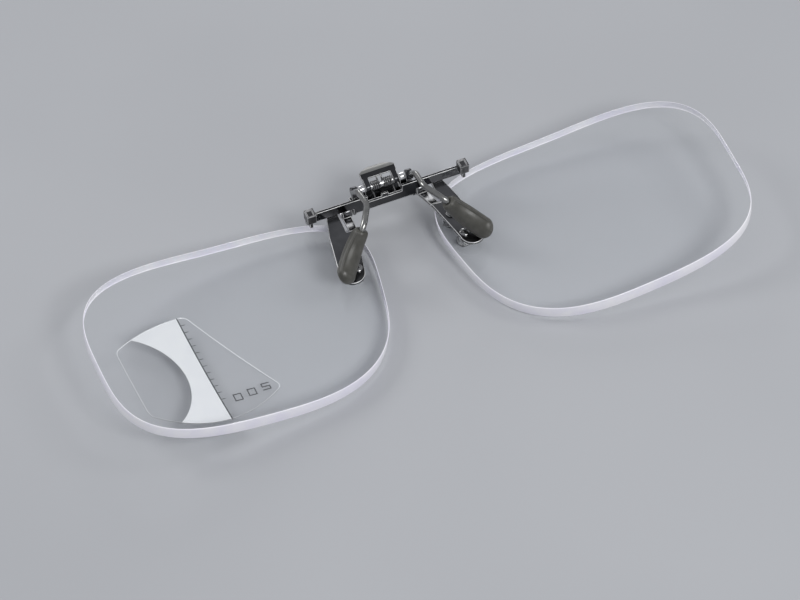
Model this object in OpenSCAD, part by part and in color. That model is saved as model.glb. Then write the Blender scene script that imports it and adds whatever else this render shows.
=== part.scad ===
// Flip-up clip-on reading glasses, lying on the fronts of their two lenses.
// X runs across the face, Y is up when worn, Z points from the lenses to the wearer.
// The right side is drawn and the left side is its mirror image.
// Heights grow from the lens surfaces up, and the surface under the lenses is z = 0.

/* [Lenses] */
// Width of the superellipse behind the lens outline
lens_w = 51.8; // [49:0.1:56]
// Height of the same superellipse
lens_h = 37.4; // [35.4:0.1:41]
// Clear gap between the two lenses
lens_gap = 13; // [12.4:0.1:14]
// Radius of the convex front surface
front_radius = 122; // [105:1:150]
// Radius of the hollow rear surface
rear_radius = 165; // [145:1:210]
// Thickness at the centre of the lens
lens_centre_t = 3.05; // [2.8:0.05:3.4]
// How far each lens wraps round the face
wrap_angle = 6.2; // [5:0.1:7]
// How far the top edge of the lenses is raised
tilt_angle = 2.2; // [1.6:0.1:2.8]
// Corner power at the nose and top
nose_top_power = 3.3; // [2.8:0.1:4]
// Corner power at the temple and top
temple_top_power = 3.05; // [2.6:0.05:4]
// Corner power at the nose and bottom
nose_bottom_power = 3; // [2.6:0.1:4]
// Corner power at the temple and bottom
temple_bottom_power = 3.6; // [2.6:0.1:4.4]
// How much the nose side leans in towards the bottom
nose_lean = -0.176; // [-0.22:0.01:-0.12]
// How much the temple side leans out towards the top
temple_lean = 0.033; // [0:0.01:0.08]

/* [Lens tongues] */
// Thickness of the sheet metal tongues
tongue_t = 0.6; // [0.5:0.05:0.7]
// Distance from the centre to the inner edge of a tongue
tongue_in_x = 7.1; // [6.9:0.1:7.3]
// Width of a tongue at its bend
tongue_w = 5.1; // [4.8:0.1:5.4]
// Width of a stop leg at its end
leg_w = 2.1; // [1.8:0.1:2.4]
// Radius of the rounded tip of a tongue
tongue_tip_r = 2.25; // [2.1:0.05:2.5]
// Distance from the centre to the middle of the tip
tongue_tip_x = 11.3; // [11.1:0.1:11.5]
// Length of a tongue from its bend to the middle of its tip
tongue_len = 8.3; // [8:0.1:8.8]
// Diameter of the lens screws
screw_d = 1.2; // [1:0.05:1.3]
// Diameter of the screw heads
screw_head_d = 1.7; // [1.6:0.05:1.8]
// Outer diameter of the clear sleeves in the lens holes
sleeve_d = 1.8; // [1.7:0.05:1.9]
// Diameter of the sleeve flanges under the lens
flange_d = 2.5; // [2.4:0.05:2.6]
// Thickness of the sleeve flanges
flange_t = 0.15; // [0.12:0.01:0.18]
// Height of the nuts
nut_h = 0.42; // [0.36:0.02:0.46]
// Width across the flats of the nuts
nut_flats = 2.2; // [2:0.05:2.3]

/* [Flip hinge] */
// Diameter of the flip pin
flip_pin_d = 1.1; // [1:0.05:1.2]
// Outer diameter of the rolled eyes on the tongues
eye_d = 2.3; // [2.1:0.05:2.4]
// Length of each rolled eye
eye_w = 1.8; // [1.5:0.1:1.9]
// Thickness of the flat spring that holds the flipped position
leaf_t = 0.15; // [0.1:0.01:0.16]

/* [Bridge] */
// Length of the long bar
bar_len = 29.8; // [28:0.1:32]
// Thickness of the bar
bar_t = 0.5; // [0.4:0.05:0.55]
// Height of the bar outside the middle
bar_h = 2; // [1.8:0.1:2.3]
// Half width of the hinge housing in the middle
housing_half = 5.95; // [5.7:0.05:6.05]
// How far the housing wall hangs below the bar
housing_drop = 1.2; // [1:0.1:1.4]
// Width of a bumper across the face
bumper_w = 1.7; // [1.6:0.1:2.2]
// Depth of a bumper from the bar forwards
bumper_d = 2; // [1.9:0.1:2.6]
// Height of a bumper
bumper_h = 1.9; // [1.7:0.1:2.4]
// Thickness of the clip base plate
base_t = 0.5; // [0.4:0.05:0.6]
// Diameter of the rivets that hold the base plate
rivet_d = 0.5; // [0.4:0.05:0.55]

/* [Clip] */
// Diameter of the clip axle
axle_d = 0.9; // [0.8:0.05:0.95]
// Outer diameter of the knuckles round the axle
knuckle_d = 1.4; // [1.35:0.05:1.5]
// Outer diameter of the bosses that carry the wire arms
boss_d = 1.9; // [1.8:0.05:2]
// Width of the finger tab
tab_w = 6.6; // [6.4:0.1:6.8]
// Thickness of the finger tab
tab_t = 0.4; // [0.35:0.05:0.45]
// Reach of the finger tab behind the axle
tab_reach = 3.8; // [3.6:0.1:4]
// Rise angle of the finger tab
tab_rise = 21; // [17:0.5:24]
// Diameter of the wire arms
arm_d = 1.1; // [0.9:0.05:1.2]
// Diameter of a pad at its neck
pad_neck_d = 2.6; // [2.4:0.05:2.7]
// Width of the oval pad near its tip
pad_tip_w = 3.8; // [3.4:0.1:3.9]
// Thickness of the oval pad near its tip
pad_tip_t = 2.4; // [2.2:0.1:2.8]
// Diameter of the torsion spring wire
spring_wire_d = 0.3; // [0.25:0.01:0.32]
// Pitch of the torsion spring curls
spring_pitch = 0.74; // [0.72:0.01:0.76]

/* [Label] */
// Thickness of the clear film label
label_t = 0.1; // [0.08:0.01:0.14]

/* [Hidden] */

LEFT = -1;
RIGHT = 1;
$fn = 48;

// Clearances: fixed parts on each other, turning parts, and moving parts passing by
fit_gap = 0.01;
run_gap = 0.04;
side_gap = 0.1;
stop_gap = 0.1;
seat_gap = 0.08;
// How far a cutter sticks out past what it cuts
over = 1;

// Lens outline: a superellipse with its own power in each quarter, its two sides leaning
rim_points = 144;
function rim_power(c, s) = s >= 0 ? (c >= 0 ? temple_top_power : nose_top_power)
                                  : (c >= 0 ? temple_bottom_power : nose_bottom_power);
function rim_point(a) =
    let (c = cos(a), s = sin(a), n = rim_power(c, s),
         k = pow(pow(abs(c), n) + pow(abs(s), n), -1 / n),
         lean = c >= 0 ? temple_lean : nose_lean)
    [lens_w / 2 * k * c + lens_h / 2 * k * s * lean * abs(k * c), lens_h / 2 * k * s];
rim = [for (i = [0:rim_points - 1]) rim_point(360 * i / rim_points)];

// Place of the right lens, measured at the middle of its front surface.
// Its highest edge is at y = 0 and its front just touches z = 0.
function rear_depth(p) = lens_centre_t + rear_radius - sqrt(pow(rear_radius, 2) - p * p);
function rim_x(p) = p.x * cos(wrap_angle) - rear_depth(p) * sin(wrap_angle);
function rim_y(p) = p.y * cos(tilt_angle)
    - (p.x * sin(wrap_angle) + rear_depth(p) * cos(wrap_angle)) * sin(tilt_angle);
lens_x = lens_gap / 2 - min([for (p = rim) rim_x(p)]);
lens_y = -max([for (p = rim) rim_y(p)]);
lens_z = front_radius * (1 - cos(wrap_angle) * cos(tilt_angle));
lens_bottom_y = lens_y + min([for (p = rim) rim_y(p)]);

// Both surfaces are balls, so their heights follow from the ball centres
function ball_centre(h) = [lens_x - h * sin(wrap_angle),
                           lens_y - h * cos(wrap_angle) * sin(tilt_angle),
                           lens_z + h * cos(wrap_angle) * cos(tilt_angle)];
function ball_z(c, r, x, y) = c.z - sqrt(r * r - pow(x - c.x, 2) - pow(y - c.y, 2));
rear_centre = ball_centre(lens_centre_t + rear_radius);
front_centre = ball_centre(front_radius);
function rear_z(x, y) = ball_z(rear_centre, rear_radius, x, y);

// Tongue plate: its underside passes over two points of the rear surface
bend_y = -5.8;
tip_end_y = bend_y - tongue_len - tongue_tip_r;
seat_in_z = rear_z(tongue_in_x, bend_y);
seat_tip_z = rear_z(tongue_tip_x, tip_end_y);
plate_rise = atan((seat_in_z - seat_tip_z) / (bend_y - tip_end_y));
plate_z = seat_in_z + seat_gap;
function plate_top_z(y) =
    plate_z + (y - bend_y) * tan(plate_rise) + tongue_t / cos(plate_rise);
function to_plate(p) = let (v = p - [0, bend_y, plate_z])
    [v.x, v.y * cos(plate_rise) + v.z * sin(plate_rise),
     v.z * cos(plate_rise) - v.y * sin(plate_rise)];
front_centre_plate = to_plate(front_centre);
function front_on_plate(x, y) = ball_z(front_centre_plate, front_radius, x, y);

// Two screws in each tongue, in plate coordinates
screw_spots = [[tongue_in_x + 2.3, -3.2], [tongue_tip_x - 1.25, -tongue_len + 0.5]];
screw_head_h = 0.5;
slot_w = 0.3;
slot_deep = 0.25;
hole_gap = 0.03;
function flange_top(p) = -fit_gap
    + min([for (a = [0:30:330]) front_on_plate(p.x + flange_d / 2 * cos(a),
                                               p.y + flange_d / 2 * sin(a))]);

// Stop legs reach under the bar, which sets the height of everything above
bar_front_y = -1.9;
bar_back_y = bar_front_y + bar_t;
leg_in_x = tongue_in_x + 1.85;
slit_w = 1;
leg_end_y = bar_back_y - 0.1;
bar_z = plate_top_z(leg_end_y) + stop_gap;
bar_top_z = bar_z + bar_h;

// Flip hinge axis
flip_y = bar_back_y + 0.8;
flip_z = bar_z - 1.53;
eye_out_x = leg_in_x - slit_w;
eye_in_x = eye_out_x - eye_w;
pin_head_d = 1.7;
pin_head_t = 0.35;
pin_half = eye_out_x + side_gap / 2;

// Bridge bar with its housing and end tabs
cheek_r = 1;
housing_top_z = bar_z + 0.55;
housing_wall = 0.5;
cheek_t = 0.6;
housing_back_y = bar_back_y + 1.9;
end_tab_t = 0.6;
end_tab_x = bar_len / 2 - 0.45;
end_tab_low = 0.7;
bumper_low = bar_top_z + 0.15;
bumper_front_y = bar_front_y - bumper_d;
bumper_top_z = bumper_low + bumper_h;
end_tab_top_z = bumper_top_z - 0.8;
recess_deep = 0.25;
recess_wall = 0.3;

// Clip axle, knuckles and base plate
axle_y = bar_back_y + 1;
axle_z = bar_top_z + 0.7;
tab_knuckle_in = 2.1;
tab_knuckle_out = 3.15;
base_knuckle_in = tab_knuckle_out + side_gap;
rivet_head_d = 0.8;
rivet_head_t = 0.25;
rivet_x = housing_half - cheek_t - rivet_head_d / 2 - fit_gap;
rivet_y = bar_back_y + 0.75;
base_knuckle_out = rivet_x - rivet_head_d / 2 - run_gap;
boss_in = base_knuckle_out + side_gap;
boss_out = boss_in + 1.15;
axle_half = boss_in + 0.7;
base_half = housing_half - 0.35;
base_top_z = housing_top_z + base_t;
front_half = base_knuckle_in - fit_gap;
lug_w = 1.2;

// Finger tab: flat on top of its knuckles, then rolled down at its far edge, with an arched outline
tab_lift = (knuckle_d - tab_t) / 2;
roll_r = 1.5;
roll_end = 20;
arch_rise = 1.2;
window_end = 1.4;

// Wire arm, from the axle to the neck of the pad, as the corners of the wire centre
function unit(v) = v / norm(v);
wire_bend_r = 2.5;
wire_sides = 16;
bend_steps = 5;
arm_root = [boss_out - 0.4, axle_y, axle_z];
arm_knee = arm_root + [0.05, -2.6, 2.8];
arm_elbow = arm_root + [-0.05, -6.6, 3.6];
pad_neck = arm_root + [2.65, -10.7, 2.45];
pad_tip = arm_root + [8.4, -16.6, -2.45];
pad_sag = arm_root + [5.5, -11.9, -1.6];

// Pad: a tube of changing thickness along a curve with three control points
pad_rings = 15;
pad_sides = 18;
pad_round = 0.16;
pad_up = [0.65, 0, 0.76];
function curve(a, b, c, t) = a * pow(1 - t, 2) + b * 2 * t * (1 - t) + c * pow(t, 2);
function pad_centre(t) = curve(pad_neck, pad_sag, pad_tip, t);
function end_round(t) = sqrt(max(0, 1 - pow(max(0, (t - 1 + pad_round) / pad_round), 2)))
    * (t < pad_round / 3 ? 0.86 + 0.14 * 3 * t / pad_round : 1);
core_steps = [0.33, 0.66];
pad_lead = pad_neck + (pad_neck - pad_centre(core_steps[0])) * 0.3;
pad_core = [pad_lead, for (t = core_steps) pad_centre(t)];
function pad_r(t, tip) = end_round(t) * (pad_neck_d + (tip - pad_neck_d) * sin(90 * min(1, t / 0.7))) / 2;

// Torsion spring: two coils on the axle, outer legs on the base, middle loop under the tab
spring_turns = 2;
rings_per_turn = 8;
coil_r = axle_d / 2 + 0.3;
coil_in = 0.42;
coil_out = coil_in + spring_turns * spring_pitch;
leg_reach = 1.7;
leg_z = -(axle_z - base_top_z - spring_wire_d / 2 - stop_gap);
loop_reach = 2;
loop_z = (tab_lift - tab_t / 2 - spring_wire_d / 2 - stop_gap) / cos(tab_rise)
    + loop_reach * tan(tab_rise);
function coil_point(i) = let (a = -90 + 360 * i / rings_per_turn)
    [coil_out - spring_pitch * i / rings_per_turn, coil_r * cos(a), coil_r * sin(a)];
half_spring = concat(
    [[coil_out, -leg_reach, leg_z], [coil_out, -leg_reach / 2, (leg_z - coil_r) / 2]],
    [for (i = [0:spring_turns * rings_per_turn]) coil_point(i)],
    [[coil_in, 0.6 * loop_reach, -coil_r / 2],
     for (a = [0:30:60]) [coil_in * cos(a), loop_reach + coil_in * sin(a), loop_z]]);
function flip_x(p) = [-p.x, p.y, p.z];
half_last = len(half_spring) - 1;
spring_path = concat(half_spring, [[0, loop_reach + coil_in, loop_z]],
                     [for (i = [half_last:-1:0]) flip_x(half_spring[i])]);

// Least gap from one place on the spring to any place more than half a curl away
function path_gap(path, skip) = min([for (i = [0:len(path) - 1]) for (j = [i + skip:1:len(path) - 1])
                                     norm(path[i] - path[j])]) - spring_wire_d;
echo(spring_least_gap = path_gap(spring_path, rings_per_turn - 2));

// Label outline on the left lens, in lens coordinates with the temple side positive
label_corners = [[21.2, 3.3], [7.1, 7.9], [-3, -11.2], [20.3, -11.4]];
label_bulge = [1.5, 0, 3.2, 0];
label_steps = 12;
function bulge_arc(a, b, rise) = [for (i = [0:label_steps - 1]) let (t = i / label_steps,
    d = b - a, n = [d.y, -d.x] / norm(d)) a + d * t + n * rise * 4 * t * (1 - t)];
label_outline = [for (k = [0:3])
    each bulge_arc(label_corners[k], label_corners[(k + 1) % 4], label_bulge[k])];

// The part is centred over its own box, from the lens bottoms to the finger tab
tab_back_y = axle_y + (tab_reach - (1 - cos(roll_end)) * roll_r) * cos(tab_rise)
    - (tab_lift + tab_t / 2 - roll_r * (1 - sin(roll_end))) * sin(tab_rise);
mid_y = (lens_bottom_y + tab_back_y) / 2;

module part() translate([0, -mid_y, 0]) children();
module on_side(side) {
    if (side == RIGHT) children();
    else mirror([1, 0, 0]) children();
}
module on_lens() translate([lens_x, lens_y, lens_z])
    rotate([tilt_angle, 0, 0]) rotate([0, -wrap_angle, 0]) children();
module on_plate() translate([0, bend_y, plate_z]) rotate([plate_rise, 0, 0]) children();
// A box between two corners
module block(a, b) translate(a) cube(b - a);
// A rod along X between two places
module rod(d, x0, x1) translate([x0, 0, 0]) rotate([0, 90, 0]) cylinder(d = d, h = x1 - x0);
// Rings of points joined into one closed surface, with flat ends
function along(path) = [for (i = [0:len(path) - 1])
    unit(path[min(i + 1, len(path) - 1)] - path[max(i - 1, 0)])];
function carried(dirs, first) = [for (i = 0, n = unit(first - dirs[0] * (first * dirs[0]));
    i < len(dirs); i = i + 1,
    n = i < len(dirs) ? unit(n - dirs[i] * (n * dirs[i])) : n) n];
function ring(p, d, n, r1, r2, sides) = [for (k = [0:sides - 1]) let (a = -360 * k / sides)
    p + n * r1 * cos(a) + cross(d, n) * r2 * sin(a)];
module skin(rings) {
    s = len(rings[0]);
    m = len(rings);
    points = [for (r = rings) each r];
    sides = [for (i = [0:m - 2]) for (k = [0:s - 1]) let (a = i * s + k, b = i * s + (k + 1) % s)
        each [[a, b, b + s], [a, b + s, a + s]]];
    caps = [for (k = [1:s - 2]) each [[0, k + 1, k], [(m - 1) * s, (m - 1) * s + k, (m - 1) * s + k + 1]]];
    polyhedron(points, concat(sides, caps));
}

// A round wire through a list of corners, all turned with the same bend radius
function turn_at(path, i) = acos(unit(path[i] - path[i - 1]) * unit(path[i + 1] - path[i]));
function bend_at(path, i) = let (turn = turn_at(path, i), v = unit(path[i] - path[i - 1]),
    out = cross(v, unit(cross(v, path[i + 1] - path[i]))), start = path[i] - v * wire_bend_r * tan(turn / 2))
    [for (k = [0:bend_steps]) let (t = turn * k / bend_steps)
        [start + (v * sin(t) - out * (1 - cos(t))) * wire_bend_r, v * cos(t) - out * sin(t)]];
function bent(path) = let (last = len(path) - 1) [[path[0], unit(path[1] - path[0])],
    for (i = [1:1:last - 1]) each bend_at(path, i), [path[last], unit(path[last] - path[last - 1])]];
module wire(path, d) {
    line = bent(path);
    normals = carried([for (p = line) p[1]], [0, 0, 1]);
    skin([for (i = [0:len(line) - 1]) ring(line[i][0], line[i][1], normals[i], d / 2, d / 2, wire_sides)]);
}

// Lenses

module lens(side) color([0.8, 0.85, 0.9, 0.4]) on_side(side) difference() {
    on_lens() difference() {
        intersection() {
            translate([0, 0, -over]) linear_extrude(lens_centre_t + 8) polygon(rim);
            translate([0, 0, front_radius]) sphere(front_radius, $fn = 320);
        }
        translate([0, 0, lens_centre_t + rear_radius]) sphere(rear_radius, $fn = 320);
    }
    on_plate() for (p = screw_spots)
        translate([p.x, p.y, -5]) cylinder(d = sleeve_d + 2 * hole_gap, h = 6);
}
module lens_left() part() lens(LEFT);
module lens_right() part() lens(RIGHT);

// Clear film label on the front of the left lens
module power_label() color([0.95, 0.95, 1, 0.5]) part() on_side(LEFT) on_lens() intersection() {
    translate([0, 0, -over]) linear_extrude(6) polygon(label_outline);
    translate([0, 0, front_radius]) difference() {
        sphere(front_radius + fit_gap + label_t, $fn = 320);
        sphere(front_radius + fit_gap, $fn = 320);
    }
}

// Tongues: plate on the lens, stop leg under the bar and a rolled eye on the flip pin

module tongue_plan() {
    tip = [tongue_tip_x, -tongue_len];
    leg_end = (leg_end_y - bend_y) / cos(plate_rise);
    polygon([[tongue_in_x, 0], [tip.x - tongue_tip_r, tip.y], [tip.x + tongue_tip_r, tip.y],
             [tongue_in_x + tongue_w, 0], [leg_in_x + leg_w, leg_end], [leg_in_x, leg_end],
             [leg_in_x, 0]]);
    translate(tip) circle(tongue_tip_r);
}
module eye_leg() {
    low = flip_z - eye_d / 2;
    intersection() {
        rotate([90, 0, 90]) linear_extrude(2 * leg_in_x)
            polygon([[bend_y - 0.05, plate_z], [bend_y - 0.05, plate_top_z(bend_y)],
                     [flip_y - 0.3, low + tongue_t], [flip_y, low + 0.3], [flip_y, low]]);
        linear_extrude(bar_z) polygon([[tongue_in_x, bend_y - over], [eye_in_x + 0.2, flip_y],
                                       [eye_out_x, flip_y], [leg_in_x - 0.4, bend_y - over]]);
    }
    translate([0, flip_y, flip_z]) rod(eye_d, eye_in_x, eye_out_x);
}
module tongue(side) color("dimgray") on_side(side) difference() {
    union() {
        on_plate() linear_extrude(tongue_t) tongue_plan();
        eye_leg();
    }
    translate([0, flip_y, flip_z]) rod(flip_pin_d + 2 * fit_gap, eye_in_x - over, eye_out_x + over);
    on_plate() for (p = screw_spots)
        translate([p.x, p.y, -over]) cylinder(d = screw_d + 2 * run_gap, h = tongue_t + 2 * over);
}
module tongue_left() part() tongue(LEFT);
module tongue_right() part() tongue(RIGHT);

// Screws, sleeves and nuts, all square to the tongue plate

module lens_screws(side) color("silver") on_side(side) on_plate() for (p = screw_spots) {
    low = flange_top(p) - flange_t - nut_h;
    translate([p.x, p.y, low]) cylinder(d = screw_d, h = tongue_t - low);
    translate([p.x, p.y, tongue_t]) difference() {
        intersection() {
            cylinder(d = screw_head_d, h = screw_head_h);
            translate([0, 0, screw_head_h - screw_head_d]) sphere(screw_head_d);
        }
        translate([-screw_head_d, -slot_w / 2, screw_head_h - slot_deep])
            cube([2 * screw_head_d, slot_w, over]);
    }
}
module lens_screws_left() part() lens_screws(LEFT);
module lens_screws_right() part() lens_screws(RIGHT);

module screw_sleeves(side) color("gainsboro") on_side(side) on_plate() for (p = screw_spots) {
    low = flange_top(p) - flange_t;
    translate([p.x, p.y, low]) difference() {
        union() {
            cylinder(d = flange_d, h = flange_t);
            cylinder(d = sleeve_d, h = -low - fit_gap);
        }
        translate([0, 0, -over]) cylinder(d = screw_d + 2 * fit_gap, h = 2 * over - low);
    }
}
module screw_sleeves_left() part() screw_sleeves(LEFT);
module screw_sleeves_right() part() screw_sleeves(RIGHT);

module lens_nuts(side) color("silver") on_side(side) on_plate() for (p = screw_spots)
    translate([p.x, p.y, flange_top(p) - flange_t - nut_h]) difference() {
        cylinder(d = nut_flats / cos(30), h = nut_h, $fn = 6);
        translate([0, 0, -over]) cylinder(d = screw_d + 2 * fit_gap, h = nut_h + 2 * over);
    }
module lens_nuts_left() part() lens_nuts(LEFT);
module lens_nuts_right() part() lens_nuts(RIGHT);

// Flip pin, fixed in the tongues, with a squared middle for the flat spring

module flip_pin() color("silver") part() translate([0, flip_y, flip_z]) {
    square_half = housing_half - cheek_t - side_gap;
    flat = flip_pin_d * cos(45) - 2 * fit_gap;
    block([-square_half, -flat / 2, -flat / 2], [square_half, flat / 2, flat / 2]);
    for (side = [LEFT, RIGHT]) on_side(side) {
        rod(flip_pin_d, square_half, pin_half);
        rod(pin_head_d, pin_half, pin_half + pin_head_t);
    }
}

// Flat spring between the housing wall and the pin, standing on two end feet

module flip_spring() color("lightsteelblue") part() {
    half = housing_half - cheek_t - side_gap;
    foot = 0.05;
    foot_w = 0.6;
    low = flip_z - 0.35;
    high = flip_z + 1.2;
    block([-half, bar_back_y + foot, low], [half, bar_back_y + foot + leaf_t, high]);
    for (side = [LEFT, RIGHT]) on_side(side)
        block([half - foot_w, bar_back_y, bar_z - housing_drop], [half, bar_back_y + foot, high]);
}

// Bridge bar: strip on edge, open housing in the middle, two end tabs for the bumpers

module bridge_bar() color("dimgray") part() difference() {
    union() {
        difference() {
            block([-bar_len / 2, bar_front_y, bar_z], [bar_len / 2, bar_back_y, bar_top_z]);
            block([-base_knuckle_in, bar_front_y - over, housing_top_z],
                  [base_knuckle_in, bar_back_y + over, bar_top_z + over]);
        }
        block([-housing_half, bar_front_y, bar_z - housing_drop],
              [housing_half, bar_back_y, housing_top_z]);
        block([-housing_half, bar_back_y, housing_top_z - housing_wall],
              [housing_half, housing_back_y, housing_top_z]);
        for (side = [LEFT, RIGHT]) on_side(side) {
            block([housing_half - cheek_t, bar_back_y, flip_z],
                  [housing_half, flip_y + cheek_r, housing_top_z]);
            translate([0, flip_y, flip_z]) rod(2 * cheek_r, housing_half - cheek_t, housing_half);
            block([end_tab_x - end_tab_t / 2, bumper_front_y + 0.4, bar_z + end_tab_low],
                  [end_tab_x + end_tab_t / 2, bar_back_y, end_tab_top_z]);
        }
    }
    for (side = [LEFT, RIGHT]) on_side(side) {
        translate([0, flip_y, flip_z])
            rod(flip_pin_d + 2 * run_gap, housing_half - cheek_t - over, housing_half + over);
        translate([rivet_x, rivet_y, housing_top_z - housing_wall - over])
            cylinder(d = rivet_d + 2 * fit_gap, h = housing_wall + 2 * over);
    }
}

// Bumpers: square caps pushed over the end tabs, hollowed on top

module bumper(side) color("dimgray") on_side(side) difference() {
    x0 = end_tab_x - bumper_w / 2;
    x1 = end_tab_x + bumper_w / 2;
    block([x0, bumper_front_y, bumper_low], [x1, bar_front_y - fit_gap, bumper_top_z]);
    block([end_tab_x - end_tab_t / 2 - fit_gap, bumper_front_y + 0.4 - fit_gap, bumper_low - over],
          [end_tab_x + end_tab_t / 2 + fit_gap, bar_front_y + over, end_tab_top_z + fit_gap]);
    block([x0 + recess_wall, bumper_front_y + recess_wall, bumper_top_z - recess_deep],
          [x1 - recess_wall, bar_front_y - recess_wall, bumper_top_z + over]);
}
module bumper_left() part() bumper(LEFT);
module bumper_right() part() bumper(RIGHT);

// Clip base: plate on the housing, two knuckles on lugs and a small spring stop

module clip_base() color("gray") part() difference() {
    union() {
        block([-base_half, bar_back_y + fit_gap, housing_top_z],
              [base_half, housing_back_y - 0.2, base_top_z]);
        block([-front_half, bar_front_y, housing_top_z], [front_half, axle_y, base_top_z]);
        block([-0.6, bar_front_y, base_top_z], [0.6, bar_front_y + 0.4, base_top_z + 0.5]);
        for (side = [LEFT, RIGHT]) on_side(side) {
            block([base_knuckle_in, axle_y - knuckle_d / 2, housing_top_z],
                  [base_knuckle_out, axle_y - knuckle_d / 2 + lug_w, axle_z]);
            translate([0, axle_y, axle_z]) rod(knuckle_d, base_knuckle_in, base_knuckle_out);
        }
    }
    for (side = [LEFT, RIGHT]) on_side(side) {
        translate([0, axle_y, axle_z])
            rod(axle_d + 2 * run_gap, base_knuckle_in - over, base_knuckle_out + over);
        translate([rivet_x, rivet_y, housing_top_z - over])
            cylinder(d = rivet_d + 2 * fit_gap, h = base_t + 2 * over);
    }
}

// Two rivets through the base plate and the housing top

module base_rivets() color("silver") part() for (side = [LEFT, RIGHT]) on_side(side)
    translate([rivet_x, rivet_y, 0]) {
        low = housing_top_z - housing_wall;
        translate([0, 0, low - rivet_head_t]) cylinder(d = rivet_head_d, h = rivet_head_t);
        translate([0, 0, low]) cylinder(d = rivet_d, h = base_top_z - low);
        translate([0, 0, base_top_z]) cylinder(d = rivet_head_d, h = rivet_head_t);
    }

// Clip axle, which turns with the tab and the arms

module clip_axle() color("silver") part()
    translate([0, axle_y, axle_z]) rod(axle_d, -axle_half, axle_half);

// Finger tab with its knuckles, window and rolled edge, drawn from the axle

module tab_profile() {
    flat_end = tab_reach - roll_r;
    translate([0, -tab_t / 2]) square([flat_end, tab_t]);
    translate([flat_end, tab_t / 2 - roll_r]) intersection() {
        difference() {
            circle(roll_r);
            circle(roll_r - tab_t);
        }
        polygon([[0, 0], [0, 2 * roll_r], [2 * roll_r, 2 * roll_r],
                 2 * roll_r * [cos(roll_end), sin(roll_end)]]);
    }
}
module tab_plan() {
    half = tab_w / 2;
    arch_r = (pow(half, 2) + pow(arch_rise, 2)) / (2 * arch_rise);
    intersection() {
        translate([0, tab_reach + fit_gap - arch_r]) circle(arch_r, $fn = 96);
        difference() {
            translate([-half, 0]) square([tab_w, 2 * tab_reach]);
            translate([-tab_knuckle_in, -over]) square([2 * tab_knuckle_in, window_end + over]);
            for (side = [-1, 1]) translate([side * (tab_knuckle_out + over), -over])
                square([2 * over, 2 * (window_end + over)], center = true);
        }
    }
}
module finger_tab() color("gray") part() translate([0, axle_y, axle_z]) difference() {
    union() {
        rotate([tab_rise, 0, 0]) intersection() {
            translate([-tab_w, 0, tab_lift]) rotate([90, 0, 90]) linear_extrude(2 * tab_w) tab_profile();
            translate([0, 0, -2 * roll_r]) linear_extrude(4 * roll_r) tab_plan();
        }
        for (side = [LEFT, RIGHT]) on_side(side) rod(knuckle_d, tab_knuckle_in, tab_knuckle_out);
    }
    rod(axle_d + 2 * fit_gap, -tab_w, tab_w);
}

// Wire arms, each with a boss round the end of the axle, running on inside the pad

module arm(side) color("slategray") on_side(side) difference() {
    union() {
        wire(concat([arm_root, arm_knee, arm_elbow], pad_core), arm_d);
        translate([0, axle_y, axle_z]) rod(boss_d, boss_in, boss_out);
    }
    translate([0, axle_y, axle_z]) rod(axle_d + 2 * fit_gap, boss_in - over, axle_half + fit_gap);
}
module arm_left() part() arm(LEFT);
module arm_right() part() arm(RIGHT);

// Soft pads with a blind bore for the wire

module pad(side) color("darkolivegreen") on_side(side) difference() {
    steps = [for (i = [0:pad_rings - 1]) 1 - pow(1 - i / (pad_rings - 1) * 0.995, 1.6)];
    centres = [for (t = steps) pad_centre(t)];
    dirs = along(centres);
    normals = carried(dirs, pad_up);
    skin([for (i = [0:pad_rings - 1]) ring(centres[i], dirs[i], normals[i],
        pad_r(steps[i], pad_tip_w), pad_r(steps[i], pad_tip_t), pad_sides)]);
    wire(pad_core, (arm_d + 2 * fit_gap) / cos(180 / wire_sides));
}
module pad_left() part() pad(LEFT);
module pad_right() part() pad(RIGHT);

// Double torsion spring as one wire

module clip_spring() color("silver") part() translate([0, axle_y, axle_z]) {
    dirs = along(spring_path);
    normals = carried(dirs, [1, 0, 0]);
    skin([for (i = [0:len(spring_path) - 1]) ring(spring_path[i], dirs[i], normals[i],
        spring_wire_d / 2, spring_wire_d / 2, 6)]);
}

lens_left();
lens_right();
tongue_left();
tongue_right();
lens_screws_left();
lens_screws_right();
screw_sleeves_left();
screw_sleeves_right();
lens_nuts_left();
lens_nuts_right();
flip_pin();
flip_spring();
bridge_bar();
bumper_left();
bumper_right();
clip_base();
base_rivets();
clip_axle();
finger_tab();
arm_left();
arm_right();
pad_left();
pad_right();
clip_spring();
power_label();
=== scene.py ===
import math

import bmesh
import bpy
import numpy as np
from mathutils import Matrix, Vector


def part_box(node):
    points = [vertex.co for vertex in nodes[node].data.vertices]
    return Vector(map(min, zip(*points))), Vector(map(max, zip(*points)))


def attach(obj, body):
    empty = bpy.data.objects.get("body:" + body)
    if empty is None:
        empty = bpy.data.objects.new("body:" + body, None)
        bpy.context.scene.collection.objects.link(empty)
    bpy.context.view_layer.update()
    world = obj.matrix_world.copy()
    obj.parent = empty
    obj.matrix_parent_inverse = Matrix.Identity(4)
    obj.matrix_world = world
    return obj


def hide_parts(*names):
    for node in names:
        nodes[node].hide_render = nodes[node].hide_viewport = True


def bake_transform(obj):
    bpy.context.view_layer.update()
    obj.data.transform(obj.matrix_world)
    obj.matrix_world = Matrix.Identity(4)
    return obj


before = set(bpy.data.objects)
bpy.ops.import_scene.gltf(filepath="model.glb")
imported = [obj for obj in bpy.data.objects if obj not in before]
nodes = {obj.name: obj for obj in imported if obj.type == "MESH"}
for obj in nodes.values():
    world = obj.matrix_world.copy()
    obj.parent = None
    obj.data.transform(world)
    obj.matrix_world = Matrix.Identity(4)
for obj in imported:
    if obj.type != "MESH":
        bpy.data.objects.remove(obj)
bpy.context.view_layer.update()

# Flip-up clip-on reading glasses. Lengths are millimetres until a mesh is made.
mm = 0.001
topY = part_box("lens_right")[1].y / mm      # the highest edge of the lenses
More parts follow.
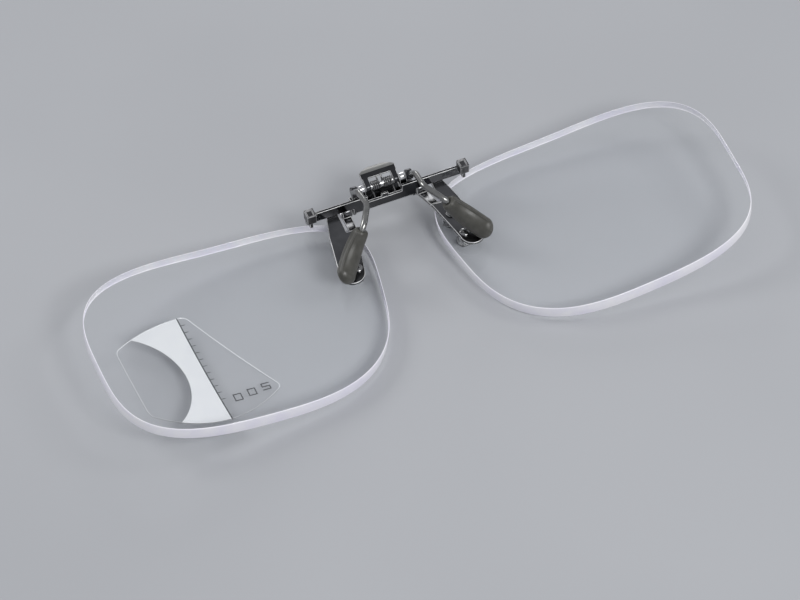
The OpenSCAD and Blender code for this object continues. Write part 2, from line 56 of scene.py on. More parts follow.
axleBox = [Vector(corner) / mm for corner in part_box("clip_axle")]
axleY = (axleBox[0].y + axleBox[1].y) / 2
axleZ = (axleBox[0].z + axleBox[1].z) / 2
joinWithin = 1e-7                          # metres, for points that fall together
tiny = 1e-9                                # keeps a vector's length above zero
print("frame loaded")

# Where the noise reaches a finish's two tones and its two roughnesses, and its octaves
noiseShape = {"tonesAt": (0.35, 0.65), "roughAt": (0.3, 0.7), "patchDetail": 3, "grainDetail": 2}


# A principled surface: its colour and roughness drift between two values with a soft
# three-dimensional noise, and a finer noise gives it a slight relief.
def makeFinish(name, tones, rough, metallic=0.0, patchSize=6.0, grainSize=0.4, relief=0.0, **fixed):
    mat = bpy.data.materials.new(name)
    mat.use_nodes = True
    tree = mat.node_tree
    add, link = tree.nodes.new, tree.links.new
    shader = tree.nodes["Principled BSDF"]
    shader.inputs["Metallic"].default_value = metallic
    for socket, value in fixed.items():
        shader.inputs[socket].default_value = value
    coords = add("ShaderNodeTexCoord")
    patches = add("ShaderNodeTexNoise")
    patches.inputs["Scale"].default_value = 1 / (patchSize * mm)
    patches.inputs["Detail"].default_value = noiseShape["patchDetail"]
    link(coords.outputs["Object"], patches.inputs["Vector"])
    ramp = add("ShaderNodeValToRGB")
    for stop, place, tone in zip(ramp.color_ramp.elements, noiseShape["tonesAt"], tones):
        stop.position, stop.color = place, (*tone, 1)
    link(patches.outputs["Fac"], ramp.inputs["Fac"])
    link(ramp.outputs["Color"], shader.inputs["Base Color"])
    spread = add("ShaderNodeMapRange")
    ends = zip(("From Min", "From Max", "To Min", "To Max"), (*noiseShape["roughAt"], *rough))
    for socket, value in ends:
        spread.inputs[socket].default_value = value
    link(patches.outputs["Fac"], spread.inputs["Value"])
    link(spread.outputs["Result"], shader.inputs["Roughness"])
    if relief:
        grain = add("ShaderNodeTexNoise")
        grain.inputs["Scale"].default_value = 1 / (grainSize * mm)
        grain.inputs["Detail"].default_value = noiseShape["grainDetail"]
        link(coords.outputs["Object"], grain.inputs["Vector"])
        bump = add("ShaderNodeBump")
        bump.inputs["Distance"].default_value = relief * mm
        bump.inputs["Strength"].default_value = 1.0
        link(grain.outputs["Fac"], bump.inputs["Height"])
        link(bump.outputs["Normal"], shader.inputs["Normal"])
    return mat


# Lets light straight through to what lies behind glass: rays towards a lamp, and rays from dull
# surfaces, pass it with a light tint.
def passLight(mat, tint):
    tree = mat.node_tree
    add, link = tree.nodes.new, tree.links.new
    path, clear = add("ShaderNodeLightPath"), add("ShaderNodeBsdfTransparent")
    clear.inputs["Color"].default_value = (*tint, 1)
    shown = tree.nodes["Principled BSDF"].outputs["BSDF"]
    for ray in ("Is Shadow Ray", "Is Diffuse Ray"):
        mix = add("ShaderNodeMixShader")
        link(path.outputs[ray], mix.inputs["Fac"])
        link(shown, mix.inputs[1])
        link(clear.outputs["BSDF"], mix.inputs[2])
        shown = mix.outputs["Shader"]
    link(shown, tree.nodes["Material Output"].inputs["Surface"])


darkNickel = makeFinish("darkNickel", ((0.05, 0.051, 0.054), (0.072, 0.073, 0.077)), (0.12, 0.19),
                        metallic=1.0, patchSize=3.0, relief=0.004)
# Tongue plates: the dark nickel made about twice as light, a painted sheen standing in for the
# light the tongues catch
tongueSheenNickel = makeFinish("tongueSheenNickel", ((0.105, 0.106, 0.11), (0.14, 0.141, 0.146)), (0.16, 0.24),
                         metallic=1.0, patchSize=3.0, relief=0.004)
wireNickel = makeFinish("wireNickel", ((0.24, 0.24, 0.235), (0.32, 0.32, 0.31)), (0.18, 0.26),
                        metallic=1.0, patchSize=2.0)
brightSteel = makeFinish("brightSteel", ((0.62, 0.62, 0.63), (0.72, 0.72, 0.72)), (0.12, 0.2),
                         metallic=1.0, patchSize=1.5)
springSteel = makeFinish("springSteel", ((0.2, 0.2, 0.2), (0.27, 0.27, 0.27)), (0.14, 0.2),
                         metallic=1.0, patchSize=1.0)
screwSteel = makeFinish("screwSteel", ((0.26, 0.26, 0.26), (0.34, 0.34, 0.34)), (0.14, 0.22),
                        metallic=1.0, patchSize=1.0)
# Light finish for the rounded edges of the dark sheet metal: a painted highlight along every edge
edgeHighlight = makeFinish("edgeHighlight", ((0.7, 0.7, 0.7), (0.84, 0.84, 0.83)), (0.26, 0.36),
                          metallic=0.5, patchSize=1.2)
# Lighter finish for the finger tab's rolled end: painted light where the curved end faces the lamps
tabEndSheen = makeFinish("tabEndSheen", ((0.27, 0.27, 0.26), (0.34, 0.34, 0.33)), (0.4, 0.5),
                      metallic=0.75, patchSize=2.5, grainSize=0.15, relief=0.006)
# Light finish for the rounded edges of the dark caps: a painted highlight round their rims
bumperRimHighlight = makeFinish("bumperRimHighlight", ((0.3, 0.3, 0.305), (0.38, 0.38, 0.385)), (0.2, 0.3),
                        patchSize=1.0)
bumperPlastic = makeFinish("bumperPlastic", ((0.022, 0.022, 0.024), (0.034, 0.034, 0.036)),
                           (0.25, 0.36), patchSize=1.5, grainSize=0.2, relief=0.006)
padRubber = makeFinish("padRubber", ((0.055, 0.054, 0.046), (0.08, 0.078, 0.068)), (0.32, 0.44),
                       patchSize=1.6, grainSize=0.25, relief=0.02)
sleeveNylon = makeFinish("sleeveNylon", ((0.8, 0.81, 0.82), (0.88, 0.88, 0.88)), (0.25, 0.35),
                         patchSize=1.0, **{"Transmission Weight": 0.8, "IOR": 1.5})
lensGlass = makeFinish("lensGlass", ((0.972, 0.98, 0.985), (0.98, 0.986, 0.99)), (0.0, 0.012),
                       patchSize=20.0, **{"Transmission Weight": 1.0, "IOR": 1.5})
# Near-white opaque edge band of the lenses: painted light standing in for the light the glass
# carries to its edge
lensEdgeGlow = makeFinish("lensEdgeGlow", ((0.87, 0.85, 0.95), (0.96, 0.95, 0.98)), (0.15, 0.25),
                      patchSize=5.0)
labelFilm = makeFinish("labelFilm", ((0.98, 0.98, 0.985), (0.99, 0.99, 0.99)), (0.03, 0.06),
                       patchSize=5.0, **{"Transmission Weight": 1.0, "IOR": 1.45})
whitePrint = makeFinish("whitePrint", ((0.93, 0.94, 0.95), (0.96, 0.97, 0.97)), (0.4, 0.5),
                        patchSize=3.0)
darkPrint = makeFinish("darkPrint", ((0.02, 0.021, 0.024), (0.035, 0.036, 0.04)), (0.4, 0.5),
                       patchSize=1.0)
floorPaper = makeFinish("floorPaper", ((0.45, 0.46, 0.48), (0.48, 0.49, 0.51)), (0.3, 0.38),
                        patchSize=120.0)
passLight(lensGlass, (0.98, 0.985, 0.99))
passLight(labelFilm, (0.99, 0.99, 0.99))
passLight(sleeveNylon, (0.9, 0.9, 0.9))
print("materials made")


# Four-cornered faces of a grid of points, with the columns closed into a ring or left open:
# each point with its neighbour across and the two that follow them in the next row.
def gridFaces(rows, columns, ringed=True):
    r = np.arange(rows - 1)[:, None]
    c = np.arange(columns if ringed else columns - 1)[None, :]
    here, across = r * columns + c, r * columns + (c + 1) % columns
    return np.stack([here, across, across + columns, here + columns], axis=-1).reshape(-1, 4)


# A mesh object from points in millimetres. Points that fall together are merged, so that
# seams and poles close, and the closed shape gets its faces turned outwards.
def makeObject(name, points, faces, materials, body, faceSlots=None, smoothAngle=40):
    mesh = bpy.data.meshes.new(name)
    mesh.from_pydata(np.asarray(points, float).reshape(-1, 3) * mm, [], faces.tolist())
    for mat in materials:
        mesh.materials.append(mat)
    if faceSlots is not None:
        mesh.polygons.foreach_set("material_index", np.asarray(faceSlots, np.int32))
    bm = bmesh.new()
    bm.from_mesh(mesh)
    bmesh.ops.remove_doubles(bm, verts=bm.verts, dist=joinWithin)
    bmesh.ops.recalc_face_normals(bm, faces=bm.faces)
    bm.to_mesh(mesh)
    bm.free()
    mesh.polygons.foreach_set("use_smooth", np.ones(len(mesh.polygons), bool))
    mesh.set_sharp_from_angle(angle=math.radians(smoothAngle))
    piece = bpy.data.objects.new(name, mesh)
    bpy.context.collection.objects.link(piece)
    if body:
        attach(piece, body)
    return piece


# Each vector divided by its own length.
def unit(v):
    return v / np.linalg.norm(v, axis=-1, keepdims=True)


# X times the side: points as they are for the right side (1), mirrored for the left side (-1).
def onSide(points, side):
    return np.asarray(points, float) * (side, 1, 1)


# The finished mesh of an object with its modifiers, put in its place.
def bakeModifiers(piece):
    graph = bpy.context.evaluated_depsgraph_get()
    graph.update()
    baked = bpy.data.meshes.new_from_object(piece.evaluated_get(graph))
    piece.modifiers.clear()
    piece.data = baked


lensShape = {
    "width": 51.8, "height": 37.4, "gap": 13.0,          # outline behind the leaning sides
    "frontRadius": 122.0, "rearRadius": 165.0, "centreThickness": 3.05,
    "wrap": 6.2, "tilt": 2.2,                            # degrees
    "noseTop": 3.3, "templeTop": 3.05, "noseBottom": 3.0, "templeBottom": 3.6,
    "noseLean": -0.176, "templeLean": 0.033,
    "edgeRound": 0.16, "columns": 300, "rings": 20, "roundSteps": 4, "rimSteps": 144,
    "ringSpread": 0.8,                                   # below one crowds the rings at the rim
    "screwSpots": ((9.4, -3.2), (10.05, -7.8)), "holeDiameter": 1.86, "holeSides": 40,
    "cutSpan": (-5, 1),                                  # of the holes, square to the tongue
    "plateY": -5.8, "plateZ": 4.16187, "plateRise": 5.7101,
    "smoothAngle": 40,
}


# Superellipse with one power in each quarter: x and y are the cosine and sine divided by the
# power sum of both, and x also moves with y, which leans the two sides.
def lensOutline(angles, shape):
    c, s = np.cos(angles), np.sin(angles)
    top = np.where(c >= 0, shape["templeTop"], shape["noseTop"])
    bottom = np.where(c >= 0, shape["templeBottom"], shape["noseBottom"])
    power = np.where(s >= 0, top, bottom)
    k = (np.abs(c) ** power + np.abs(s) ** power) ** (-1 / power)
    lean = np.where(c >= 0, shape["templeLean"], shape["noseLean"])
    y = shape["height"] / 2 * k * s
    return np.stack([shape["width"] / 2 * k * c + y * lean * np.abs(k * c), y], axis=-1)


# Height of a ball's lower surface over a point of the plane: the radius less the root of its
# square without the square of the distance.
def ballHeight(xy, radius, bottom=0.0):
    return bottom + radius - np.sqrt(radius ** 2 - (xy ** 2).sum(axis=-1))


# Lens coordinates turned by the wrap and the tilt, and moved to the place of the right lens:
# the rear rim then starts half the gap from the middle and reaches the highest edge, and the
# lowest point of the front ball lies at height zero.
def placeOnLens(points, shape):
    w, t = math.radians(shape["wrap"]), math.radians(shape["tilt"])
    turnWrap = np.array([[math.cos(w), 0, -math.sin(w)], [0, 1, 0], [math.sin(w), 0, math.cos(w)]])
    turnTilt = np.array([[1, 0, 0], [0, math.cos(t), -math.sin(t)], [0, math.sin(t), math.cos(t)]])
    rim = lensOutline(np.arange(shape["rimSteps"]) * math.tau / shape["rimSteps"], shape)
    rear = ballHeight(rim, shape["rearRadius"], shape["centreThickness"])
    turned = np.concatenate([rim, rear[:, None]], axis=1) @ (turnTilt @ turnWrap).T
    place = np.array([shape["gap"] / 2 - turned[:, 0].min(), topY - turned[:, 1].max(),
                      shape["frontRadius"] * (1 - math.cos(w) * math.cos(t))])
    return np.asarray(points, float) @ (turnTilt @ turnWrap).T + place


# Rings from the middle of the rear surface out to the rim, over a small round, down the edge
# band, over the second round and back in along the front surface.
def lensGrid(shape):
    angles = np.arange(shape["columns"]) * math.tau / shape["columns"]
    rim = lensOutline(angles, shape)
    along = np.roll(rim, -1, axis=0) - np.roll(rim, 1, axis=0)
    outward = unit(np.stack([along[:, 1], -along[:, 0]], axis=-1))
    r = shape["edgeRound"]
    inner = rim - outward * r
    discs = inner[None] * np.linspace(0, 1, shape["rings"])[:, None, None] ** shape["ringSpread"]
    rearZ = ballHeight(discs, shape["rearRadius"], shape["centreThickness"])
    rear = np.concatenate([discs, rearZ[..., None]], -1)
    front = np.concatenate([discs, ballHeight(discs, shape["frontRadius"])[..., None]], -1)[::-1]
    turn = np.linspace(0, math.pi / 2, shape["roundSteps"] + 1)[1:, None]
    out = inner[None] + outward[None] * r * np.sin(turn)[..., None]
    upper = np.concatenate([out, (rear[-1, :, 2] - r + r * np.cos(turn))[..., None]], -1)
    lower = np.concatenate([out, (front[0, :, 2] + r - r * np.cos(turn))[..., None]], -1)[::-1]
    grid = np.concatenate([rear, upper, lower, front])
    slots = np.zeros(len(grid) - 1, int)
    bandStart = shape["rings"] - 1
    slots[bandStart:bandStart + 2 * shape["roundSteps"] + 1] = 1
    return grid, np.repeat(slots, shape["columns"])


# A round bar square to the tongue plate through each screw spot, used to cut the lens: four
# rings, the end ones of no width, turned about X by the plate's rise.
def holeBars(shape):
    rise, sides = math.radians(shape["plateRise"]), shape["holeSides"]
    a = np.arange(sides) * math.tau / sides
    circle = np.stack([np.cos(a), np.sin(a)], -1) * shape["holeDiameter"] / 2
    low, high = shape["cutSpan"]
    bars, faces = [], []
    for spot in shape["screwSpots"]:
        flat = np.stack([np.append(spot + circle * size, np.full((sides, 1), z), axis=1)
                         for size, z in ((0, low), (1, low), (1, high), (0, high))])
        y = flat[..., 1] * math.cos(rise) - flat[..., 2] * math.sin(rise)
        z = flat[..., 1] * math.sin(rise) + flat[..., 2] * math.cos(rise)
        faces.append(gridFaces(4, sides) + len(bars) * 4 * sides)
        bars.append(np.stack([flat[..., 0], y + topY + shape["plateY"], z + shape["plateZ"]], -1))
    return np.concatenate(bars).reshape(-1, 3), np.concatenate(faces)


for side, name in ((1, "lens_right"), (-1, "lens_left")):
    grid, slots = lensGrid(lensShape)
    points = onSide(placeOnLens(grid, lensShape), side)
    lens = makeObject(name + "_glass", points, gridFaces(*grid.shape[:2]), [lensGlass, lensEdgeGlow],
                      "lens_frame", faceSlots=slots)
    barPoints, barFaces = holeBars(lensShape)
    cutter = makeObject("hole_cutter", onSide(barPoints, side), barFaces, [lensGlass], "lens_frame")
    cut = lens.modifiers.new("holes", "BOOLEAN")
    cut.operation, cut.object, cut.solver = "DIFFERENCE", cutter, "EXACT"
    bakeModifiers(lens)
    bpy.data.objects.remove(cutter)
    lens.data.set_sharp_from_angle(angle=math.radians(lensShape["smoothAngle"]))
    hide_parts(name)
print("lenses made")

# Film and print on the front of the left lens, in lens coordinates
labelShape = {
    "corners": ((21.8, 2.8), (7.7, 7.4), (-2.8, -12.0), (20.9, -12.1)), "bulge": (1.1, 0, 4.4, 0),
    "cornerRound": 2.2, "sidePoints": 60, "outlinePoints": 240, "discRings": 13,
    "filmDepth": 0.02, "filmThickness": 0.1, "outlineWidth": 0.1,
    "depth": 0.125, "thickness": 0.02,                   # of the print, below the lens surface
    "bandTop": 0.9, "bandBottom": 0.455,                 # shares of the curved sides
    "bandColumns": 14, "bandRows": 48, "bandEnd": 0.25,  # a share of the band's length
    "hollowCentre": (23.6, -5.7), "hollowRadius": 11.7, "borderWidth": 0.09, "meetSteps": 2001,
    "lineWidth": 0.2, "lineGap": 0.02,
    "ticks": 12, "tickSpaces": 15, "tickLength": 0.75, "tickWidth": 0.13, "tickShift": 1.1,
    "number": "200", "digitPlace": (-0.8, -12.0), "digitSize": (1.3, 1.4),
    "digitStep": (2.65, -0.38), "strokeWidth": 0.22, "strokeSteps": 6,
}
digitStrokes = {
    "2": ((0, 1), (1, 1), (1, 0.5), (0, 0.5), (0, 0), (1, 0)),
    "0": ((0, 0), (1, 0), (1, 1), (0, 1), (0, 0)),
}


# Points of one side of the label: a straight line between its corners, pushed out by a parabola,
# which is four times the bulge times the shares of the way behind and ahead.
def labelSide(k, t):
    start, end = (np.array(labelShape["corners"][i % 4], float) for i in (k, k + 1))
    way, t = end - start, np.asarray(t, float)[..., None]
    outward = np.array([way[1], -way[0]]) / np.linalg.norm(way)
    return start + way * t + outward * labelShape["bulge"][k] * 4 * t * (1 - t)


# The label's outline at even steps, its corners rounded by a moving average along it.
def labelOutline():
    steps, count = labelShape["sidePoints"], labelShape["outlinePoints"]
    rough = np.concatenate([labelSide(k, np.arange(steps) / steps) for k in range(4)])
    closed = np.concatenate([rough, rough[:1]])
    stretches = np.linalg.norm(np.diff(closed, axis=0), axis=1)
    length = np.concatenate([[0], np.cumsum(stretches)])
    at = np.arange(count) * length[-1] / count
    even = np.stack([np.interp(at, length, closed[:, i]) for i in (0, 1)], -1)
    reach = int(labelShape["cornerRound"] / length[-1] * count / 2)
    return np.mean([np.roll(even, i, axis=0) for i in range(-reach, reach + 1)], axis=0)


# Flat points in lens coordinates moved on to a ball that lies below the lens front by a depth:
# the front radius less the root of the larger radius squared without the distance squared.
def onFrontBall(sheet, depth):
    radius = lensShape["frontRadius"]
    z = radius - np.sqrt((radius + depth) ** 2 - (sheet ** 2).sum(-1))
    return np.concatenate([sheet, z[..., None]], -1)


# Points in lens coordinates as a piece on the left lens.
def printPiece(name, points, faces, material):
    placed = onSide(placeOnLens(points, lensShape), -1)
    piece = makeObject(name, placed, faces, [material], "lens_frame")
    return piece


# A closed skin from rings on one ball, and the same rings the other way round on a second ball.
def ringPiece(name, rings, nearDepth, farDepth, material):
    near, far = onFrontBall(rings, nearDepth), onFrontBall(rings[::-1], farDepth)
    grid = np.concatenate([near, far, near[:1]])
    return printPiece(name, grid, gridFaces(*grid.shape[:2]), material)


# A flat sheet of points laid on the front ball, as a thin closed skin: the sheet at the print's
# depth, its copy a thickness further out, and a wall of faces between their edges.
def layOnFront(name, sheet, material):
    rows, columns = sheet.shape[:2]
    depths = (labelShape["depth"], labelShape["depth"] + labelShape["thickness"])
    skins = [onFrontBall(sheet, depth) for depth in depths]
    order = np.arange(rows * columns).reshape(rows, columns)
    edge = np.concatenate([order[0, :-1], order[:-1, -1], order[-1, :0:-1], order[:0:-1, 0]])
    following = np.roll(edge, -1)
    flat = gridFaces(rows, columns, ringed=False)
    under = flat[:, ::-1] + rows * columns
    wall = np.stack([edge, following, following + rows * columns, edge + rows * columns], -1)
    return printPiece(name, np.concatenate(skins), np.concatenate([flat, under, wall]), material)


# Where the hollow's circle meets one of the curved sides: the place on a fine row of the side's
# points whose distance from the circle's centre is nearest to its radius.
def hollowMeets(k):
    t = np.linspace(0, 1, labelShape["meetSteps"])
    away = np.linalg.norm(labelSide(k, t) - labelShape["hollowCentre"], axis=1)
    return t[np.abs(away - labelShape["hollowRadius"]).argmin()]


# Points of the hollow's circle between its two meetings with the curved sides: the centre plus
# the radius times the cosine and sine of even angles.
def hollowArc(extra=0.0):
    centre = np.array(labelShape["hollowCentre"])
    start, end = (labelSide(k, hollowMeets(k)) - centre for k in (0, 2))
    first, last = (math.atan2(v[1], v[0]) % math.tau for v in (start, end))
    a = np.linspace(first, last, labelShape["bandRows"])
    return centre + (labelShape["hollowRadius"] + extra) * np.stack([np.cos(a), np.sin(a)], -1)


# Band between the hollow circle and a straight side: straight lines across it, its two ends
# drawn to the curved sides of the label by a share that falls evenly to nothing.
def bandSheet():
    across, down, reach = (labelShape[key] for key in ("bandColumns", "bandRows", "bandEnd"))
    u = np.linspace(0, 1, across)[None, :, None]
    v = np.linspace(0, 1, down)[:, None, None]
    ends = [labelSide(k, np.linspace(hollowMeets(k), labelShape[key], across))
            for k, key in ((0, "bandTop"), (2, "bandBottom"))]
    left, right = hollowArc()[:, None], ends[0][-1] * (1 - v) + ends[1][-1] * v
    sheet = left * (1 - u) + right * u
    top, low = (end - row for end, row in zip(ends, (sheet[0], sheet[-1])))
    return sheet + top * np.maximum(0, 1 - v / reach) + low * np.maximum(0, 1 - (1 - v) / reach)


# A straight stroke between two points: a narrow rectangle that is half a width longer at each
# end.
def strokeSheet(start, end, width):
    start, end = np.array(start, float), np.array(end, float)
    along = unit(end - start)
    side = np.array([-along[1], along[0]]) * width / 2
    length = np.linalg.norm(end - start)
    t = np.linspace(-width / 2, length + width / 2, labelShape["strokeSteps"])[:, None, None]
    return start + along * t + side * np.array([-1, 1])[None, :, None]


outline = labelOutline()
middle = outline.mean(axis=0)
discs = middle + (outline - middle) * np.linspace(0, 1, labelShape["discRings"])[:, None, None]
film = ringPiece("label_film_sheet", discs, labelShape["filmDepth"],
                 labelShape["filmDepth"] + labelShape["filmThickness"], labelFilm)
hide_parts("power_label")
along = np.roll(outline, -1, axis=0) - np.roll(outline, 1, axis=0)
inward = unit(np.stack([along[:, 1], -along[:, 0]], -1))
inward *= np.sign(((middle - outline) * inward).sum(-1).mean())
ringPiece("label_outline", np.stack([outline, outline + inward * labelShape["outlineWidth"]]),
          labelShape["depth"], labelShape["depth"] + labelShape["thickness"], whitePrint)
layOnFront("label_band", bandSheet(), whitePrint)
layOnFront("label_border", np.stack([hollowArc(), hollowArc(labelShape["borderWidth"])], 1),
           darkPrint)

# The line along the band's straight side, and the ticks across it
lineTop, lineEnd = labelSide(0, labelShape["bandTop"]), labelSide(2, labelShape["bandBottom"])
shift = np.array([-labelShape["lineWidth"] / 2 - labelShape["lineGap"], 0])
line = strokeSheet(lineTop + shift, lineEnd + shift, labelShape["lineWidth"])
layOnFront("label_line", line, darkPrint)
for i in range(1, labelShape["ticks"] + 1):
    at = lineTop + (lineEnd - lineTop) * i / labelShape["tickSpaces"]
    at = at + shift * labelShape["tickShift"]
    tick = strokeSheet(at, at - (labelShape["tickLength"], 0), labelShape["tickWidth"])
    layOnFront(f"label_tick_{i}", tick, darkPrint)

# Plain numbers, read from the front of the lens
for k, digit in enumerate(labelShape["number"]):
    corner = np.array(labelShape["digitPlace"]) + np.array(labelShape["digitStep"]) * k
    spots = [corner + np.array(spot) * labelShape["digitSize"] for spot in digitStrokes[digit]]
    for i, (start, end) in enumerate(zip(spots, spots[1:])):
        stroke = strokeSheet(start, end, labelShape["strokeWidth"])
        layOnFront(f"label_digit_{k + 1}_{i + 1}", stroke, darkPrint)
print("label made")

# Sheet metal, screws and plastic caps are rounded copies of the CAD solids: width of the
# rounded edges, finish of the faces and of the edges, slot and body. The light edge finishes
# of the dark sheet metal and of the caps are painted highlights along the edges
metalPieces = {
    "tongue": (0.1, tongueSheenNickel, edgeHighlight, "dark_sheet", "lens_frame"),
    "lens_screws": (0.04, screwSteel, screwSteel, "screw_steel", "lens_frame"),
    "lens_nuts": (0.05, screwSteel, screwSteel, "screw_steel", "lens_frame"),
    "screw_sleeves": (0.03, sleeveNylon, sleeveNylon, "sleeve_nylon", "lens_frame"),
    "flip_pin": (0.07, brightSteel, brightSteel, "bright_steel", "lens_frame"),
    "flip_spring": (0.02, springSteel, springSteel, "spring_steel", "bridge"),
    "bridge_bar": (0.07, darkNickel, edgeHighlight, "dark_sheet", "bridge"),
    "bumper": (0.12, bumperPlastic, bumperRimHighlight, "bumper_plastic", "bridge"),
    "clip_base": (0.06, darkNickel, edgeHighlight, "dark_sheet", "bridge"),
    "base_rivets": (0.06, screwSteel, screwSteel, "screw_steel", "bridge"),
    "clip_axle": (0.08, brightSteel, brightSteel, "bright_steel", "clip_lever"),
    "finger_tab": (0.06, darkNickel, edgeHighlight, "tab_satin", "clip_lever"),
}
# Degrees: faces joined below the first, edges rounded above the second, and shaded smooth up
# to the third. Points are joined within a distance in metres
edgeShape = {"flatAngle": 0.5, "sharpAngle": 35, "smoothAngle": 50, "segments": 2,
             "joinWithin": 1e-6}
# Knuckles within a distance of the axle painted bright as a highlight, and the tab's end beyond its
# crease painted lighter as if lit
knuckleShape = {"highlightRadius": 0.76}
tabShape = {"rise": 21.0, "crease": 2.36}                # degrees, and the crease from the axle


# The node's triangles joined into whole faces, then every edge sharper than the limit gets a
# small round of the given width.
def roundedCopy(name, width, faceFinish, edgeFinish, slot, body):
    source = nodes[name].data
    points = np.empty(len(source.vertices) * 3)
    source.vertices.foreach_get("co", points)
    corners = np.empty(len(source.loops), np.int32)
    source.loops.foreach_get("vertex_index", corners)
    copy = makeObject(name + "_round", points / mm, corners.reshape(-1, 3),
                      [faceFinish, edgeFinish], body)
    bm = bmesh.new()
    bm.from_mesh(copy.data)
    bmesh.ops.remove_doubles(bm, verts=bm.verts, dist=edgeShape["joinWithin"])
    bmesh.ops.dissolve_limit(bm, angle_limit=math.radians(edgeShape["flatAngle"]),
                             verts=bm.verts, edges=bm.edges)
    bm.to_mesh(copy.data)
    bm.free()
    bevel = copy.modifiers.new("edges", "BEVEL")
    bevel.width, bevel.segments, bevel.material = width * mm, edgeShape["segments"], 1
    bevel.limit_method, bevel.angle_limit = "ANGLE", math.radians(edgeShape["sharpAngle"])
    bevel.miter_outer, bevel.use_clamp_overlap = "MITER_ARC", False
    bakeModifiers(copy)
    copy.data.polygons.foreach_set("use_smooth", np.ones(len(copy.data.polygons), bool))
    copy.data.set_sharp_from_angle(angle=math.radians(edgeShape["smoothAngle"]))
    weights = copy.modifiers.new("even", "WEIGHTED_NORMAL")
    weights.keep_sharp = True
    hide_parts(name)
    return copy


# Gives one more material to the faces whose middles, in millimetres from the axle, pass a test.
def refinish(piece, material, passes):
    middles = np.empty(len(piece.data.polygons) * 3)
    piece.data.polygons.foreach_get("center", middles)
    slots = np.empty(len(piece.data.polygons), np.int32)
    piece.data.polygons.foreach_get("material_index", slots)
    chosen = passes(*(middles.reshape(-1, 3) / mm - (0, axleY, axleZ)).T)
    slots[chosen] = len(piece.data.materials)
    piece.data.materials.append(material)
    piece.data.polygons.foreach_set("material_index", slots)


# Near the axle's line: the distance in Y and Z is within the radius of the painted knuckle
# highlight.
def onKnuckleHighlight(x, y, z):
    return np.hypot(y, z) < knuckleShape["highlightRadius"]


# Beyond the crease: the distance from the axle along the rising tab.
def pastCrease(x, y, z):
    rise = math.radians(tabShape["rise"])
    return y * math.cos(rise) + z * math.sin(rise) > tabShape["crease"]


for name, finish in metalPieces.items():
    for side in ("",) if name in nodes else ("_left", "_right"):
        copy = roundedCopy(name + side, *finish)
        if name == "clip_base":
            # The base's knuckles get bright steel: a painted highlight along them
            refinish(copy, brightSteel, onKnuckleHighlight)
        if name == "finger_tab":
            # The tab's rolled end beyond the crease is painted lighter, as if lit
            refinish(copy, tabEndSheen, pastCrease)
print("sheet metal made")


# Points along straight runs, with every inner corner turned by an arc of one radius that
# starts the radius times the tangent of half the turn before the corner.
def roundedRoute(corners, radius, steps):
    corners = np.array(corners, float)
    route = [corners[:1]]
    for before, corner, after in zip(corners, corners[1:], corners[2:]):
        v, w = unit(corner - before), unit(after - corner)
        turn = math.acos(min(1.0, float(v @ w)))
        inward = unit(w - v * (v @ w))
        t = np.linspace(0, turn, steps)[:, None]
        start = corner - v * radius * math.tan(turn / 2)
        route.append(start + (v * np.sin(t) + inward * (1 - np.cos(t))) * radius)
    return np.concatenate(route + [corners[-1:]])


# An oval carried along a path: at each place it lies across the path, its first axis turned as
# little as can be from the place before. A point is the first axis times the first half width
# and the cosine, plus the second axis times the second half width and the sine.
def carryOval(path, firstAxis, halfA, halfB, sides):
    ahead = np.empty_like(path)
    ahead[1:-1] = path[2:] - path[:-2]
    ahead[0], ahead[-1] = path[1] - path[0], path[-1] - path[-2]
    ahead = unit(ahead)
    axis = np.empty_like(path)
    carried = np.array(firstAxis, float)
    for i, way in enumerate(ahead):
        carried = unit(carried - way * (carried @ way))
        axis[i] = carried
    second = np.cross(ahead, axis)
    a = (np.arange(sides) * math.tau / sides)[None, :, None]
    halfA, halfB = (np.broadcast_to(h, len(path))[:, None, None] for h in (halfA, halfB))
    return path[:, None] + axis[:, None] * halfA * np.cos(a) + second[:, None] * halfB * np.sin(a)


# Both ends of a tube closed by a ring of no width.
def closeEnds(grid):
    middles = grid.mean(axis=1, keepdims=True)
    shrunk = np.broadcast_to(middles, grid.shape)
    return np.concatenate([shrunk[:1], grid, shrunk[-1:]])


armShape = {
    "wire": 1.1, "bendRadius": 2.5, "bendSteps": 12, "sides": 28,
    "knee": (0.05, -2.6, 2.8), "elbow": (-0.05, -6.6, 3.6),           # from the root
    "bossDiameter": 1.9, "bossIn": 4.6, "bossOut": 5.75, "bossSides": 48,
    "bore": 0.92, "boreEnd": 5.31, "bossRound": 0.15, "roundSteps": 4,
    "rootFromBoss": 0.4,
    "leadShare": 0.3, "coreSteps": (0.33, 0.66),                      # outside and inside the pad
}
padShape = {
    "neck": (2.65, -10.7, 2.45), "sag": (5.5, -11.9, -1.6), "tip": (8.4, -16.6, -2.45),
    "neckWidth": 2.6, "tipWidth": 3.8, "tipThickness": 2.4, "up": (0.65, 0, 0.76),
    "rings": 72, "sides": 112, "ringReach": 0.999, "tipCrowding": 1.6,
    "endRound": 0.16, "swellUntil": 0.7, "neckUntil": 0.16 / 3,       # shares of the pad's length
    "neckShrink": 0.9, "tipReach": 0.01,
    "seamHeight": 0.2, "seamWidth": 0.085, "seamPlaces": (0.5, -0.5),    # radians round the oval
    "seamFrom": 0.03, "bodyFrom": 0.02,                               # shares of the pad's length
    "mouth": 1.14, "mouthDepth": 0.8, "mouthStart": 0.1, "mouthRound": 0.18, "flatShare": 0.75,
    "lipSteps": 4, "smoothAngle": 60,
}
root = np.array([armShape["bossOut"] - armShape["rootFromBoss"], axleY, axleZ])


# Middle line of a pad: a curve with three control points, whose weights are the squares and
# twice the product of the way behind and the way ahead.
def padCurve(t):
    a, b, c = (root + np.array(padShape[key]) for key in ("neck", "sag", "tip"))
    t = np.asarray(t, float)[..., None]
    return a * (1 - t) ** 2 + b * 2 * t * (1 - t) + c * t ** 2


